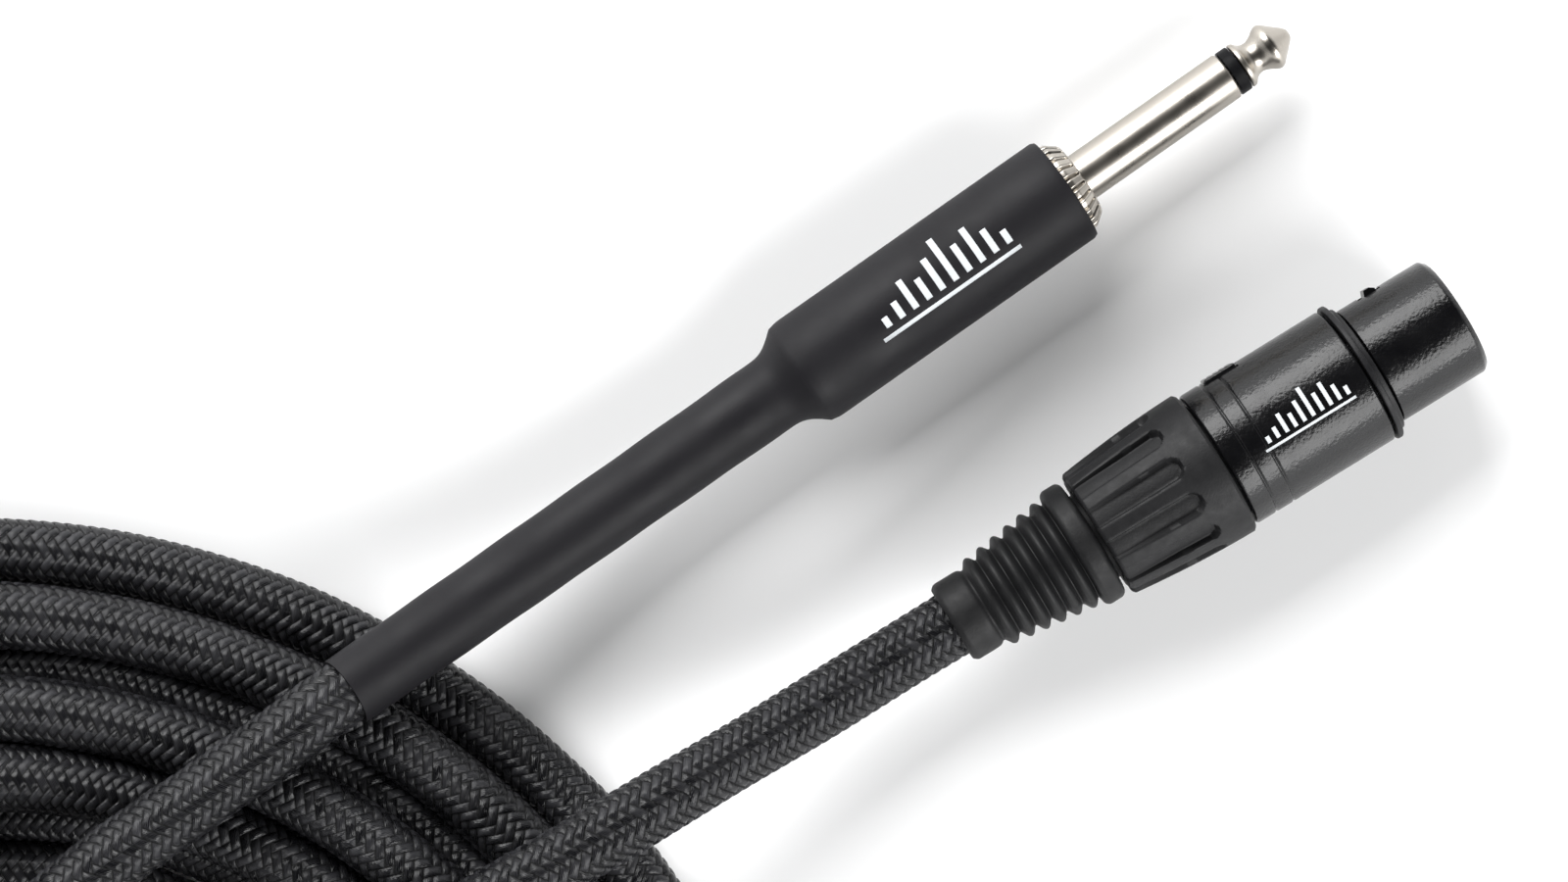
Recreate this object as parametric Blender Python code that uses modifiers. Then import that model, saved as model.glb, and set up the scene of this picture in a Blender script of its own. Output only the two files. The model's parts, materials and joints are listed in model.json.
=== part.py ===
"""A coiled instrument cable with a 6.35 mm jack plug on one end and a three-pole female XLR on the other.

Both connectors are modelled along their own axes. Each axis is an empty whose local +Z points out of the
connector's front, so a place on a connector is given as the distance back from its front. Lengths are in
metres, +Z is up, and the surface that everything lies on is z = 0."""

import math

import bmesh
import bpy
from mathutils import Matrix, Vector

MM = 0.001
GAP = 0.3 * MM

# The plan is laid out from a point between the two plugs. The shift puts the origin under the middle.
PLAN_SHIFT = Vector((34.993, 44.184, 0)) * MM

CABLE_R = 4.1 * MM
JACKET_R = 2.9 * MM
WIRE_R = 0.6 * MM

# XLR connector: where its nose is, which way it points, and its main radii and stations behind the nose.
XLR_NOSE = Vector((83.4, 15.8, 9.9)) * MM
XLR_HEADING = math.radians(31.7)
NOSE_R = 7.95 * MM
SHELL_R = 9.25 * MM
NOSE_BORE_R = 6.6 * MM
SHELL_BORE_R = 7.9 * MM
NOSE_END = 12.5 * MM
SHELL_FRONT = 14.5 * MM
SHELL_END = 34.7 * MM
NUT_END = 52.3 * MM
BOOT_END = 73.5 * MM
NUT_FRONT_R = 9.85 * MM
NUT_REAR_R = 8.6 * MM
FLUTES = 12
CONTACT_CIRCLE_R = 4.1 * MM
BOOT_RIBS = 6
RIB_PITCH = 2.12 * MM

# Jack plug: where its tip is, which way it points, and its stations behind the tip.
JACK_TIP = Vector((63.0, 51.0, 7.15)) * MM
JACK_HEADING = math.radians(35.0)
SLEEVE_R = 3.175 * MM
PLUG_LENGTH = 31.75 * MM
COLLAR_END = 34.0 * MM
COLLAR_TEETH = 24
BARREL_END = 72.0 * MM
SHRINK_R = 7.15 * MM
SHRINK_STEP = 74.8 * MM
SHRINK_END = 142.6 * MM

# Coil: an oval with long flat arcs on two sides and tighter ends, given by its curve radii.
OVAL_TOP = Vector((-51.7, -21.6, 0)) * MM
OVAL_TILT = math.radians(62.85)
FLAT_ARC_R = 109.8 * MM
END_ARC_R = 52.0 * MM
FLAT_HALF_ANGLE = math.radians(27.5)
BUNDLE_WIDTH = 33.0 * MM
BUNDLE_HEIGHT = 22.6 * MM
FANNED_WIDTH = 51.0 * MM
FANNED_HEIGHT = 15.4 * MM
# Across the bundle: shares of its width in from the outer edge, and of its height.
SECTION = [(0, 0), (0, 0.4), (0.06, 0.58), (0.2, 0.84), (0.36, 1), (0.8, 1), (0.97, 0.62), (1, 0.35), (1, 0)]

# Routes of the leads where they aren't coiled, in mm in the plan.
XLR_LEAD = [
    (20.9, -22.8, 9.9), (12.4, -28.0, 9.9), (5.0, -32.6, 10.5), (-1.5, -36.4, 12.4), (-8.1, -40.1, 15.0),
    (-15.0, -44.1, 17.7), (-23.0, -48.8, 19.7), (-31.3, -53.7, 20.0), (-41.0, -59.5, 20.0),
    (-51.0, -65.5, 20.2), (-60.0, -70.8, 19.5), (-69.0, -75.7, 15.8), (-78.0, -79.6, 10.2),
    (-87.0, -82.0, 6.2), (-95.0, -82.3, 4.5), (-102.0, -80.8, 4.2),
]
JACK_LEAD = [
    (-62.0, -36.8, 19.8), (-69.0, -41.9, 20.2), (-77.5, -47.7, 20.2),
    (-85.6, -53.6, 20.1), (-92.5, -59.6, 19.6), (-98.0, -67.0, 18.0), (-101.5, -75.0, 15.8),
    (-103.5, -84.0, 14.0),
]


def remove_everything():
    for thing in list(bpy.data.objects):
        bpy.data.objects.remove(thing, do_unlink=True)


def collection(name):
    made = bpy.data.collections.new(name)
    bpy.context.scene.collection.children.link(made)
    return made


remove_everything()
PARTS = collection("coiled_cable")
CUTTERS = collection("cutters")


def material(name, colour, roughness, metallic=0.0):
    made = bpy.data.materials.new(name)
    made.use_nodes = True
    shader = made.node_tree.nodes["Principled BSDF"]
    shader.inputs["Base Color"].default_value = (*colour, 1)
    shader.inputs["Roughness"].default_value = roughness
    shader.inputs["Metallic"].default_value = metallic
    return made


def axis_empty(name, front, heading):
    """An empty at a connector's front: +Z out of the front, +Y level, to the left of the way it points."""
    empty = bpy.data.objects.new(name, None)
    PARTS.objects.link(empty)
    forward = Vector((math.cos(heading), math.sin(heading), 0))
    left = Vector((-math.sin(heading), math.cos(heading), 0))
    turn = Matrix((left.cross(forward), left, forward)).transposed()
    empty.matrix_world = Matrix.Translation(front + PLAN_SHIFT) @ turn.to_4x4()
    return empty


def add(name, data, parent, finish, group=None):
    thing = bpy.data.objects.new(name, data)
    (group or PARTS).objects.link(thing)
    thing.parent = parent
    if finish:
        data.materials.append(finish)
    return thing


def shade(mesh):
    mesh.shade_smooth()
    mesh.set_sharp_from_angle(angle=math.radians(35))


def outline_mesh(name, points, closed):
    mesh = bpy.data.meshes.new(name)
    count = len(points)
    edges = [(i, (i + 1) % count) for i in range(count if closed else count - 1)]
    mesh.from_pydata([(r, 0, -s) for r, s in points], edges, [])
    return mesh


def turned(name, parent, finish, outer, inner=(), steps=28, group=None):
    """A turned piece: (radius, distance back) points down its outside and, on a hollow one, its inside."""
    points = list(outer) + list(reversed(inner))
    thing = add(name, outline_mesh(name, points, bool(inner)), parent, finish, group)
    screw = thing.modifiers.new("turn", "SCREW")
    screw.axis = "Z"
    screw.steps = steps
    screw.render_steps = steps
    screw.use_merge_vertices = True
    screw.merge_threshold = 0.000001
    screw.use_smooth_shade = True
    return thing


def pipe(name, parent, finish, radius, inside, front, back, steps=24):
    return turned(name, parent, finish, [(radius, front), (radius, back)], [(inside, front), (inside, back)], steps)


def box(name, parent, finish, low, high, group=None, bevel=0.0):
    """A box between two corners in its parent's frame."""
    mesh = bpy.data.meshes.new(name)
    shape = bmesh.new()
    bmesh.ops.create_cube(shape, size=1)
    low, high = Vector(low), Vector(high)
    size = high - low
    shape.transform(Matrix.Translation((low + high) / 2) @ Matrix.Diagonal((*size, 1)))
    if bevel:
        bmesh.ops.bevel(shape, geom=shape.edges[:], offset=bevel, segments=2, affect="EDGES", profile=0.5)
    shape.to_mesh(mesh)
    shape.free()
    return add(name, mesh, parent, finish, group)


def cut(thing, cutter):
    cutter.hide_render = True
    cutter.display_type = "WIRE"
    boolean = thing.modifiers.new("cut", "BOOLEAN")
    boolean.operation = "DIFFERENCE"
    boolean.solver = "EXACT"
    boolean.object = cutter


def smooth_route(points, spacing):
    """Points at an even spacing along a smooth curve through the route's own points."""
    dense = []
    count = len(points)
    for i in range(count - 1):
        before = points[max(i - 1, 0)]
        after = points[min(i + 2, count - 1)]
        a, b = points[i], points[i + 1]
        for step in range(12):
            t = step / 12
            dense.append(
                0.5 * (2 * a + (b - before) * t + (2 * before - 5 * a + 4 * b - after) * t * t
                       + (3 * a - before - 3 * b + after) * t * t * t)
            )
    dense.append(points[-1])
    length = sum((q - p).length for p, q in zip(dense, dense[1:]))
    pieces = max(2, round(length / spacing))
    route, run, want = [dense[0]], 0.0, length / pieces
    for p, q in zip(dense, dense[1:]):
        piece = (q - p).length
        while want <= run + piece + 1e-9 and len(route) < pieces:
            route.append(p.lerp(q, (want - run) / piece))
            want += length / pieces
        run += piece
    route.append(dense[-1])
    return route


def tube(name, parent, finish, route, radius, resolution=2, radii=None, group=None):
    """A round tube along route points, with a radius of its own at each point where radii are given."""
    curve = bpy.data.curves.new(name, "CURVE")
    curve.dimensions = "3D"
    curve.bevel_depth = radius
    curve.bevel_resolution = resolution
    curve.use_fill_caps = True
    spline = curve.splines.new("POLY")
    spline.points.add(len(route) - 1)
    for i, (point, place) in enumerate(zip(spline.points, route)):
        point.co = (*place, 1)
        point.radius = radii[i] / radius if radii else 1
    return add(name, curve, parent, finish, group)


def as_mesh(thing):
    """The tube as a welded mesh object in the same place, in the tube's stead."""
    bpy.context.view_layer.update()
    seen = thing.evaluated_get(bpy.context.evaluated_depsgraph_get())
    mesh = bpy.data.meshes.new_from_object(seen)
    shape = bmesh.new()
    shape.from_mesh(mesh)
    bmesh.ops.remove_doubles(shape, verts=shape.verts, dist=0.000001)
    bmesh.ops.recalc_face_normals(shape, faces=shape.faces)
    shape.to_mesh(mesh)
    shape.free()
    name, place, group = thing.name, thing.matrix_world.copy(), thing.users_collection[0]
    bpy.data.objects.remove(thing, do_unlink=True)
    made = bpy.data.objects.new(name, mesh)
    group.objects.link(made)
    made.matrix_world = place
    return made


def plan(points):
    return [Vector(p) * MM + PLAN_SHIFT for p in points]


# ---- XLR connector -----------------------------------------------------------------------------------------


def xlr_shell(axis, metal):
    groove, width = 0.3 * MM, 0.25 * MM
    edge = 0.8 * MM
    outer = [(NOSE_BORE_R + 0.5 * MM, 0), (NOSE_R, edge), (NOSE_R, NOSE_END), (7.3 * MM, NOSE_END)]
    outer += [(7.3 * MM, SHELL_FRONT), (SHELL_R - GAP, SHELL_FRONT), (SHELL_R, SHELL_FRONT + GAP)]
    for station in (29.3 * MM, 31.8 * MM):
        outer += [(SHELL_R, station - width), (SHELL_R - groove, station), (SHELL_R, station + width)]
    outer += [(SHELL_R, SHELL_END - GAP), (SHELL_R - GAP, SHELL_END)]
    step = 15.5 * MM
    inner = [(NOSE_BORE_R, 0), (NOSE_BORE_R, step), (SHELL_BORE_R, step), (SHELL_BORE_R, SHELL_END)]
    shell = turned("xlr_shell", axis, metal, outer, inner, steps=40)
    button = box("button_window", axis, None, (-2.9 * MM, 5 * MM, -31.5 * MM), (2.9 * MM, 12 * MM, -26.5 * MM), CUTTERS)
    hook = box("hook_window", axis, None, (-1.7 * MM, 5 * MM, -9.6 * MM), (1.7 * MM, 12 * MM, -6.4 * MM), CUTTERS)
    cut(shell, button)
    cut(shell, hook)


def xlr_ring(axis, rubber):
    inside, low, high = 7.6 * MM, 8.6 * MM, 9.6 * MM
    front, middle, back = 12.8 * MM, 13.5 * MM, 14.2 * MM
    turned("xlr_nose_ring", axis, rubber, [(low, front), (low, middle), (high, middle), (high, back)],
           [(inside, front), (inside, back)], steps=40)


def contact_places():
    for number, degrees in ((1, 30), (2, 150), (3, 270)):
        angle = math.radians(degrees)
        yield number, CONTACT_CIRCLE_R * math.cos(angle), CONTACT_CIRCLE_R * math.sin(angle)


def xlr_insert(axis, plastic):
    body_r, flange_r = 6.3 * MM, 7.5 * MM
    front, flange, back = 0.8 * MM, 16.0 * MM, 18.0 * MM
    insert = turned("xlr_insert", axis, plastic,
                    [(0, front), (body_r, front), (body_r, flange), (flange_r, flange), (flange_r, back), (0, back)],
                    steps=28)
    for number, x, y in contact_places():
        bore = turned(f"contact_bore_{number}", axis, None,
                      [(0, -2 * MM), (1.9 * MM, -2 * MM), (1.9 * MM, 22 * MM), (0, 22 * MM)], steps=20, group=CUTTERS)
        bore.location = (x, y, 0)
        cut(insert, bore)
    slot = box("tongue_slot", axis, None, (-1.7 * MM, 3.1 * MM, -25 * MM), (1.7 * MM, 12 * MM, 1 * MM), CUTTERS)
    cut(insert, slot)


def xlr_contacts(axis, metal):
    """A socket at the front and a solder cup at the back, with a waist between them."""
    outside, bore, waist = 1.6 * MM, 1.2 * MM, 1.1 * MM
    front, bore_end, neck, cup, back = 1.4 * MM, 13 * MM, 18.5 * MM, 20 * MM, 25 * MM
    floor = cup + 1.5 * MM
    outline = [(0, bore_end), (bore, bore_end - 0.4 * MM), (bore, front), (outside, front + GAP), (outside, neck)]
    outline += [(waist, neck + GAP), (waist, cup), (outside, cup + GAP), (outside, back), (bore, back)]
    outline += [(bore, floor), (0, floor)]
    for number, x, y in contact_places():
        contact = turned(f"xlr_contact_{number}", axis, metal, outline, steps=20)
        contact.location = (x, y, 0)


def xlr_latch(axis, metal, plastic):
    """The tongue is one flat stamping seen from the side; the push button sits on its rear end."""
    half_width = 1.4 * MM
    low, top, hook = 4.7 * MM, 5.9 * MM, 8.5 * MM
    outline = [(low, 7), (hook - 0.4 * MM, 7), (hook, 7.6), (hook, 8.4), (top, 9.4), (top, 31), (low, 31)]
    curve = bpy.data.curves.new("xlr_latch_tongue", "CURVE")
    curve.dimensions = "2D"
    curve.fill_mode = "BOTH"
    curve.extrude = half_width
    spline = curve.splines.new("POLY")
    spline.points.add(len(outline) - 1)
    for point, (height, station) in zip(spline.points, outline):
        point.co = (height, -station * MM, 0, 1)
    spline.use_cyclic_u = True
    tongue = add("xlr_latch_tongue", curve, axis, metal)
    tongue.rotation_euler = Matrix(((0, 0, 1), (1, 0, 0), (0, 1, 0))).to_euler()
    button = box("xlr_latch_button", axis, plastic, (-2.5 * MM, 6.2 * MM, -31.2 * MM), (2.5 * MM, 9.95 * MM, -26.8 * MM),
                 bevel=0.35 * MM)
    return tongue, button


def xlr_leaf_spring(axis, metal):
    """A thin leaf, bowed along the connector, under the tongue and clear of its travel."""
    half, thick, front, back = 1.2 * MM, 0.3 * MM, 19 * MM, 26 * MM
    steps = 10
    curve = bpy.data.curves.new("xlr_latch_spring", "CURVE")
    curve.dimensions = "2D"
    curve.fill_mode = "BOTH"
    curve.extrude = half
    stations = [front + (back - front) * i / steps for i in range(steps + 1)]
    bow = [1.7 * MM + 1.1 * MM * math.sin(math.pi * i / steps) for i in range(steps + 1)]
    outline = list(zip(bow, stations)) + [(b + thick, s) for b, s in reversed(list(zip(bow, stations)))]
    spline = curve.splines.new("POLY")
    spline.points.add(len(outline) - 1)
    for point, (height, station) in zip(spline.points, outline):
        point.co = (height, -station, 0, 1)
    spline.use_cyclic_u = True
    leaf = add("xlr_latch_spring", curve, axis, metal)
    leaf.rotation_euler = Matrix(((0, 0, 1), (1, 0, 0), (0, 1, 0))).to_euler()


def xlr_chuck(axis, plastic):
    outside, inside, nose = 6.7 * MM, 4.5 * MM, 5.9 * MM
    front, taper, back = 32.3 * MM, 44 * MM, 48 * MM
    chuck = turned("xlr_chuck", axis, plastic, [(outside, front), (outside, taper), (nose, back)],
                   [(inside, front), (inside, taper), (inside, back)], steps=24)
    half, mouth = 0.5 * MM, 40 * MM
    for number, (across, along) in enumerate((((half, 9 * MM), "x"), ((9 * MM, half), "y"))):
        slot = box(f"chuck_slot_{along}", axis, None, (-across[0], -across[1], -52 * MM),
                   (across[0], across[1], -mouth - number * MM), CUTTERS)
        cut(chuck, slot)


def nut_radius(station):
    """The nut's bowed side, fullest just behind its front rim."""
    t = (station - SHELL_END) / (NUT_END - SHELL_END)
    return NUT_FRONT_R + (NUT_REAR_R - NUT_FRONT_R) * t ** 1.8


def xlr_gland_nut(axis, plastic):
    front = SHELL_END + GAP
    edge = 0.4 * MM
    outer = [(7.6 * MM, 32.2 * MM), (7.6 * MM, front), (NUT_FRONT_R - edge, front)]
    stations = [front + edge + (NUT_END - edge - front) * i / 8 for i in range(8)]
    outer += [(nut_radius(s), s) for s in stations]
    outer += [(NUT_REAR_R, NUT_END - edge), (NUT_REAR_R - edge, NUT_END)]
    inner = [(7.0 * MM, 32.2 * MM), (7.0 * MM, 44.3 * MM), (6.2 * MM, 48.6 * MM), (6.2 * MM, NUT_END)]
    nut = turned("xlr_gland_nut", axis, plastic, outer, inner, steps=36)
    for number in range(FLUTES):
        flute_r, depth = 1.9 * MM, 0.65 * MM
        start = 39.8 * MM
        flute = turned(f"flute_{number}", axis, None,
                       [(0, start), (flute_r * 0.6, start + 0.4 * MM), (flute_r, start + flute_r),
                        (flute_r, NUT_END + 3 * MM), (0, NUT_END + 3 * MM)], steps=12, group=CUTTERS)
        angle = 2 * math.pi * number / FLUTES
        reach = NUT_FRONT_R + flute_r - depth
        lean = math.atan2(nut_radius(start) - NUT_REAR_R, NUT_END - start) * 0.8
        turn = Matrix.Rotation(angle, 4, "Z")
        tilt = Matrix.Rotation(lean, 4, "Y")
        pivot = Matrix.Translation((reach - 0.25 * MM, 0, -start))
        flute.matrix_local = turn @ pivot @ tilt @ Matrix.Translation((0, 0, start))
        cut(nut, flute)


def xlr_boot(axis, rubber):
    collar, collar_edge = 8.2 * MM, 7.8 * MM
    outer = [(5.9 * MM, 48.4 * MM), (5.9 * MM, NUT_END + GAP * 2), (collar_edge, NUT_END + GAP * 2)]
    outer += [(collar, NUT_END + 1.0 * MM), (collar, 55.4 * MM), (collar_edge, 55.9 * MM)]
    for rib in range(BOOT_RIBS):
        crest = (7.6 - 0.28 * rib) * MM
        root = crest - 1.2 * MM
        station = 57.2 * MM + RIB_PITCH * rib
        outer += [(root, station - 0.75 * MM), (crest, station - 0.35 * MM), (crest, station + 0.35 * MM),
                  (root, station + 0.75 * MM)]
    outer += [(5.1 * MM, 69.0 * MM), (5.45 * MM, 69.5 * MM), (5.45 * MM, BOOT_END - 0.6 * MM), (4.95 * MM, BOOT_END)]
    inner = [(4.5 * MM, 48.4 * MM), (4.5 * MM, BOOT_END)]
    turned("xlr_boot", axis, rubber, outer, inner, steps=26)


def xlr_wires(axis, jacket, finishes):
    """The stripped jacket inside the chuck, and the wires from it to the solder cups."""
    pipe_front, pipe_back = 30.5 * MM, 35.6 * MM
    turned("xlr_cable_jacket", axis, jacket,
           [(0, pipe_front), (JACKET_R, pipe_front), (JACKET_R, pipe_back), (0, pipe_back)], steps=24)
    places = {number: Vector((x, y, 0)) for number, x, y in contact_places()}
    cup_back, jacket_front = -25.3 * MM, -30.2 * MM
    for name, number in (("xlr_wire_shield", 1), ("xlr_wire_hot", 2)):
        end = places[number]
        route = [Vector((end.x, end.y, cup_back)), Vector((end.x * 0.97, end.y * 0.95, cup_back - 1.2 * MM)),
                 Vector((end.x * 0.6, end.y * 0.5, cup_back - 3 * MM)),
                 Vector((end.x * 0.4, end.y * 0.4, jacket_front + 0.9 * MM)),
                 Vector((end.x * 0.4, end.y * 0.4, jacket_front))]
        tube(name, axis, finishes[name], smooth_route(route, 1.2 * MM), WIRE_R)
    # The jumper ties contact 3 to contact 1 beside the cups, because this cable carries one signal.
    one, three = places[1], places[3]
    drop = Vector((0, 0, cup_back))
    out = (one + three) * 0.62
    route = [three + Vector((0.7 * MM, 0, cup_back)), three + Vector((1.3 * MM, 0.4 * MM, cup_back - 1.0 * MM)),
             out + drop - Vector((0, 0, 1.6 * MM)), one + Vector((0.7 * MM, -1.0 * MM, cup_back - 1.0 * MM)),
             one + Vector((0.7 * MM, -0.9 * MM, cup_back))]
    tube("xlr_wire_jumper", axis, finishes["xlr_wire_jumper"], smooth_route(route, 1.2 * MM), WIRE_R * 0.8)


# ---- jack plug ---------------------------------------------------------------------------------------------


def jack_contacts(axis, metal, ring):
    bulb, neck, flare, rod = SLEEVE_R, 2.12 * MM, 3.08 * MM, 0.9 * MM
    turned("jack_tip", axis, metal,
           [(0, 0), (0.8 * MM, 0.05 * MM), (1.5 * MM, 0.6 * MM), (2.7 * MM, 2.1 * MM), (bulb, 3.0 * MM),
            (3.05 * MM, 3.5 * MM), (2.4 * MM, 4.7 * MM), (neck, 5.4 * MM), (2.3 * MM, 6.0 * MM),
            (flare, 7.0 * MM), (flare, 7.4 * MM), (rod, 7.4 * MM), (rod, 44 * MM), (0, 44 * MM)], steps=24)
    pipe("jack_insulator_ring", axis, ring, flare, rod + GAP, 7.7 * MM, 9.0 * MM)
    pipe("jack_inner_insulator", axis, ring, 1.7 * MM, rod + GAP, 9.3 * MM, 41 * MM, steps=20)
    turned("jack_sleeve", axis, metal,
           [(flare, 9.3 * MM), (SLEEVE_R, 9.4 * MM), (SLEEVE_R, 39 * MM)], [(2.0 * MM, 9.3 * MM), (2.0 * MM, 39 * MM)],
           steps=24)


def jack_collar(axis, metal):
    """A short cone with square teeth round it, widest at the back."""
    front_r, rear_r, bore = 5.0 * MM, 6.1 * MM, SLEEVE_R + GAP
    collar = turned("jack_collar", axis, metal,
                    [(front_r, PLUG_LENGTH), (rear_r, PLUG_LENGTH + 1.7 * MM), (rear_r, COLLAR_END)],
                    [(bore, PLUG_LENGTH), (bore, COLLAR_END)], steps=48)
    for number in range(COLLAR_TEETH):
        tooth = box(f"collar_notch_{number}", axis, None, (5.35 * MM, -0.3 * MM, -COLLAR_END - 1 * MM),
                    (8 * MM, 0.3 * MM, -PLUG_LENGTH + 1 * MM), CUTTERS)
        tooth.matrix_local = Matrix.Rotation(2 * math.pi * (number + 0.5) / COLLAR_TEETH, 4, "Z")
        cut(collar, tooth)


def jack_barrel(axis, metal, plastic):
    outside, inside, hole = 6.45 * MM, 5.5 * MM, SLEEVE_R + GAP
    front, wall = COLLAR_END + GAP, 36.5 * MM
    turned("jack_barrel", axis, metal, [(outside, front), (outside, BARREL_END)],
           [(hole, front), (hole, wall), (inside, wall), (inside, BARREL_END)], steps=24)
    pipe("jack_barrel_liner", axis, plastic, 5.2 * MM, 4.7 * MM, 41.5 * MM, 69 * MM, steps=24)


def jack_terminals(axis, metal):
    """The tip's solder lug on the centre rod, and the clamp that grips the jacket and takes the shield."""
    pipe("jack_tip_terminal", axis, metal, 1.9 * MM, 1.2 * MM, 41.4 * MM, 43.6 * MM, steps=20)
    clamp = pipe("jack_ground_clamp", axis, metal, 4.2 * MM, SLEEVE_R + GAP, 37 * MM, 62 * MM)
    upper = box("clamp_side_cut", axis, None, (-8 * MM, -2.9 * MM, -56.5 * MM), (8 * MM, 8 * MM, -39.6 * MM), CUTTERS)
    rear = box("clamp_rear_cut", axis, None, (-8 * MM, 1.2 * MM, -66 * MM), (8 * MM, 8 * MM, -50 * MM), CUTTERS)
    cut(clamp, upper)
    cut(clamp, rear)


def jack_wires(axis, signal, shield):
    jacket_front, lift = -57.7 * MM, 0.8 * MM
    route = [Vector((0, 0, -44.3 * MM)), Vector((0, 0, -47 * MM)), Vector((0.6 * MM, lift, -51 * MM)),
             Vector((0.6 * MM, lift, -55 * MM)), Vector((0.6 * MM, lift, jacket_front))]
    tube("jack_signal_wire", axis, signal, smooth_route(route, 1.6 * MM), WIRE_R)
    route = [Vector((-0.6 * MM, -2.3 * MM, -47 * MM)), Vector((-0.6 * MM, -2.1 * MM, -50 * MM)),
             Vector((-0.6 * MM, -1.3 * MM, -54 * MM)), Vector((-0.6 * MM, -1.0 * MM, jacket_front))]
    tube("jack_shield_wire", axis, shield, smooth_route(route, 1.6 * MM), WIRE_R)


def shrink_line():
    """The middle of the heat shrink: straight over the barrel, then up onto the coil, in world places."""
    back = Vector((-math.cos(JACK_HEADING), -math.sin(JACK_HEADING), 0))
    heights = [(COLLAR_END / MM, 7.15), (50, 7.15), (66, 7.15), (73.6, 7.15), (80, 7.15), (90, 7.2), (100, 7.7),
               (110, 8.8), (120, 10.7), (130, 13.3), (137, 15.5), (SHRINK_END / MM, 17.5)]
    tip = Vector((JACK_TIP.x, JACK_TIP.y, 0)) + PLAN_SHIFT
    return [tip + back * (u * MM) + Vector((0, 0, z * MM)) for u, z in heights]


def shrink_radius(along):
    """Outer radius of the heat shrink at a distance behind the tip: barrel, soft shoulder, then the cable."""
    narrow_front, narrow_rear = 4.85 * MM, 4.5 * MM
    if along <= SHRINK_STEP:
        return SHRINK_R
    shoulder = 4.0 * MM
    t = min((along - SHRINK_STEP) / shoulder, 1)
    ease = 1 - (1 - t) ** 2.2
    fall = narrow_front + (narrow_rear - narrow_front) * (along - SHRINK_STEP) / (SHRINK_END - SHRINK_STEP)
    return SHRINK_R + (fall - SHRINK_R) * ease


def jack_heat_shrink(plastic, jacket):
    line = smooth_route(shrink_line(), 1.3 * MM)
    start = COLLAR_END + 0.2 * MM
    alongs = [start]
    for p, q in zip(line, line[1:]):
        alongs.append(alongs[-1] + (q - p).length)
    kept = [i for i, a in enumerate(alongs)
            if i in (0, len(alongs) - 1) or SHRINK_STEP - 1.4 * MM < a < SHRINK_STEP + 5 * MM or i % 5 == 0]
    route = [line[i] for i in kept]
    radii = [shrink_radius(alongs[i]) for i in kept]
    cover = as_mesh(tube("jack_heat_shrink", None, None, route, SHRINK_R, 5, radii))
    cover.data.materials.append(plastic)
    barrel_bore, cable_bore = 6.75 * MM, 3.6 * MM
    back = (route[0] - route[1]).normalized()
    inner = [line[0] + back * 2 * MM] + [line[i] for i in kept[1:-1]]
    inner.append(line[-1] + (line[-1] - line[-2]).normalized() * 2 * MM)
    bores = [barrel_bore] + [barrel_bore if alongs[i] < BARREL_END + 1.2 * MM else cable_bore for i in kept[1:]]
    bore = as_mesh(tube("shrink_bore", None, None, inner, barrel_bore, 5, bores, CUTTERS))
    cut(cover, bore)
    core = [line[i] for i in kept if alongs[i] > 58 * MM][:-1]
    core.append(line[-1] + (line[-2] - line[-1]).normalized() * GAP)
    tube("jack_cable_jacket", None, jacket, core, JACKET_R, 2)


# ---- cable -------------------------------------------------------------------------------------------------


def eased(t):
    t = min(max(t, 0), 1)
    return t * t * (3 - 2 * t)


def curve_radius(normal):
    """The oval's radius of curvature where its outward normal points this way."""
    off = (normal - OVAL_TILT + math.pi / 2) % math.pi - math.pi / 2
    blend = math.radians(6)
    return END_ARC_R + (FLAT_ARC_R - END_ARC_R) * (1 - eased((abs(off) - FLAT_HALF_ANGLE) / blend))


def oval(count):
    """(outer point, normal angle) at evenly turned normals round the coil."""
    fine = 12
    step = 2 * math.pi / (count * fine)
    place, found = OVAL_TOP.copy(), []
    for i in range(count * fine):
        normal = OVAL_TILT + step * i
        if i % fine == 0:
            found.append((place.copy(), normal))
        middle = normal + step / 2
        place += Vector((-math.sin(middle), math.cos(middle), 0)) * curve_radius(middle) * step
    return found


def fanned(normal, full, none):
    """1 where the turns fan out, over `full` each side of the fan's middle, easing to 0 at `none`."""
    off = abs((normal - math.radians(65) + math.pi) % (2 * math.pi) - math.pi)
    return 1 - eased((off - math.radians(full)) / math.radians(none - full))


def cable_coil(textile):
    """One closed ring of the wound turns' outer shape: narrower and higher where they lie close."""
    shape = bmesh.new()
    rings = []
    for place, normal in oval(60):
        outward = Vector((math.cos(normal), math.sin(normal), 0))
        fan = fanned(normal, 30, 64)
        width = BUNDLE_WIDTH + (FANNED_WIDTH - BUNDLE_WIDTH) * fan
        height = BUNDLE_HEIGHT + (FANNED_HEIGHT - BUNDLE_HEIGHT) * fan
        rings.append([
            shape.verts.new(place + PLAN_SHIFT - outward * (share * width) + Vector((0, 0, level * height)))
            for share, level in SECTION
        ])
    for here, there in zip(rings, rings[1:] + rings[:1]):
        for k in range(len(SECTION)):
            following = (k + 1) % len(SECTION)
            shape.faces.new((here[k], there[k], there[following], here[following]))
    bmesh.ops.recalc_face_normals(shape, faces=shape.faces)
    mesh = bpy.data.meshes.new("cable_coil")
    shape.to_mesh(mesh)
    shape.free()
    shade(mesh)
    add("cable_coil", mesh, None, textile)


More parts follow.
